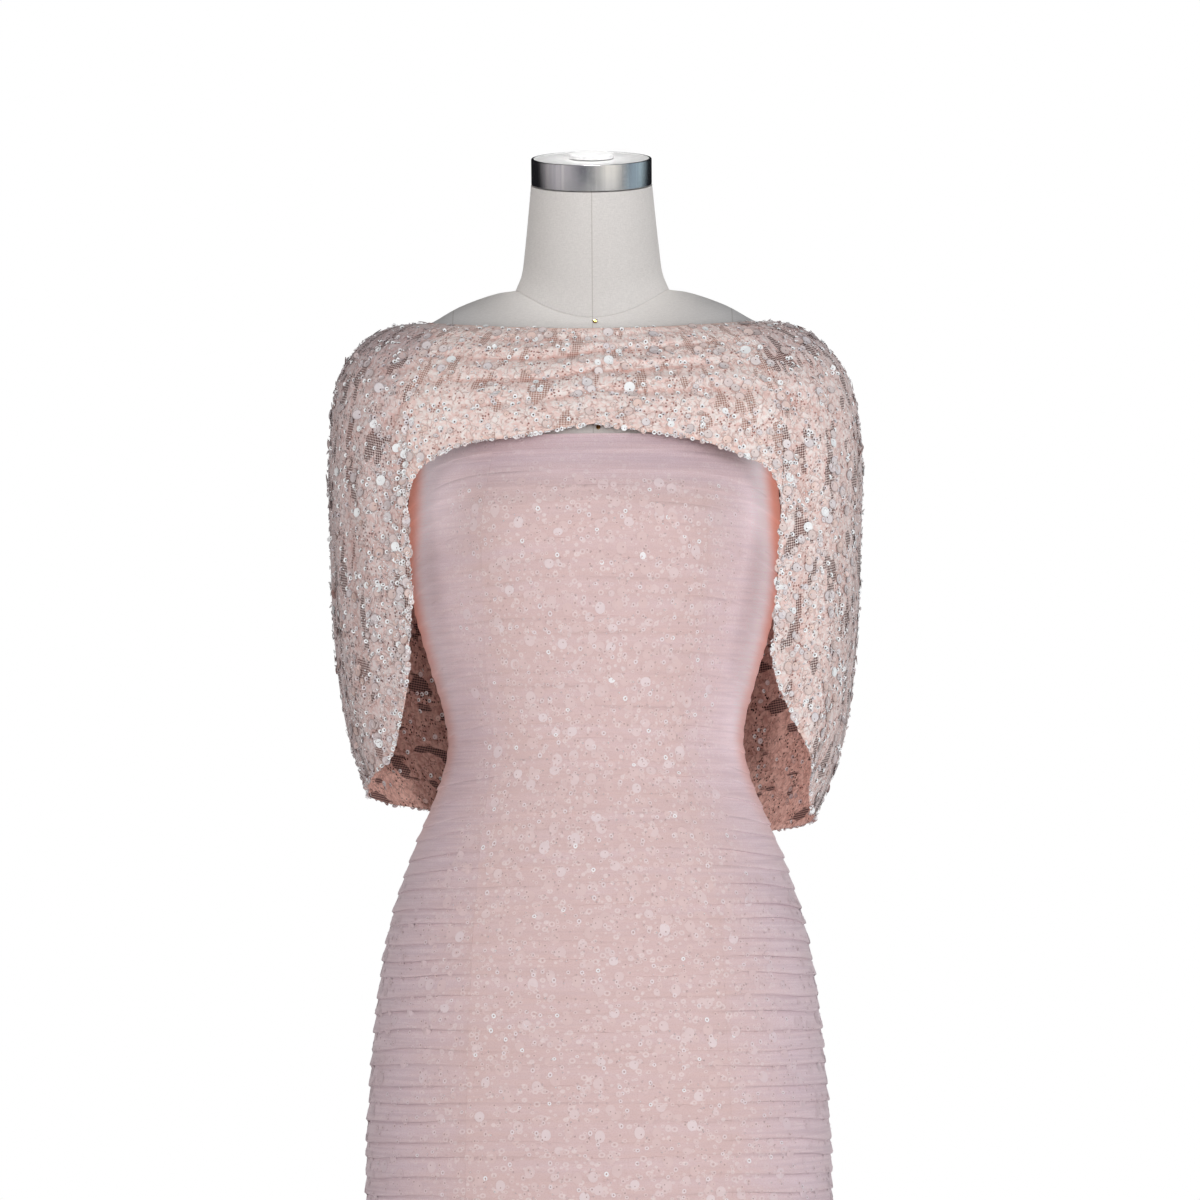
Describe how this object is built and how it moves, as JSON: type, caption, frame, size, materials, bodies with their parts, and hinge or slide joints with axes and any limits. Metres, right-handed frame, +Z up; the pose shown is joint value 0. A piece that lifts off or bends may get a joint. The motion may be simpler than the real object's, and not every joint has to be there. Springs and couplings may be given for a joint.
{
  "type": "two-piece evening gown on a limbless dress form",
  "caption": "Strapless floor-length gown of finely tucked tulle under an off-shoulder sequinned capelet, worn by a limbless dress form with a steel neck cap on a round stand.",
  "frame": {"origin": "middle of the underside of the stand's base plate, on the floor", "axes": "+Z up, the gown's front faces -Y, +X is on the right of a front view"},
  "size_m": [0.4521, 0.356, 1.5954],
  "materials": {
    "tucked_tulle": "fine pale pink tulle in narrow horizontal tucks, over sequinned net",
    "sequinned_net": "blush net worked all over with clear sequins and beads",
    "zip_tape": "matt tape of a closed concealed zip",
    "form_linen": "matt unbleached linen, drawn tight",
    "steel": "brushed",
    "brass": "polished",
    "knob": "matt white",
    "stand_paint": "satin black"
  },
  "bodies": {
    "root": {"gown_front_centre": "tucked_tulle", "gown_front_side_left": "tucked_tulle", "gown_front_side_right": "tucked_tulle", "gown_back_left": "tucked_tulle", "gown_back_right": "tucked_tulle", "gown_back_zip": "zip_tape", "capelet_front": "sequinned_net", "capelet_back": "sequinned_net", "form_body": "form_linen", "form_neck": "form_linen", "form_neck_cap": "steel", "form_knob": "knob", "form_nail_neck": "brass", "form_nail_bust": "brass", "stand_pole": "steel", "stand_hub": "stand_paint", "stand_base": "stand_paint"}
  },
  "joints": []
}
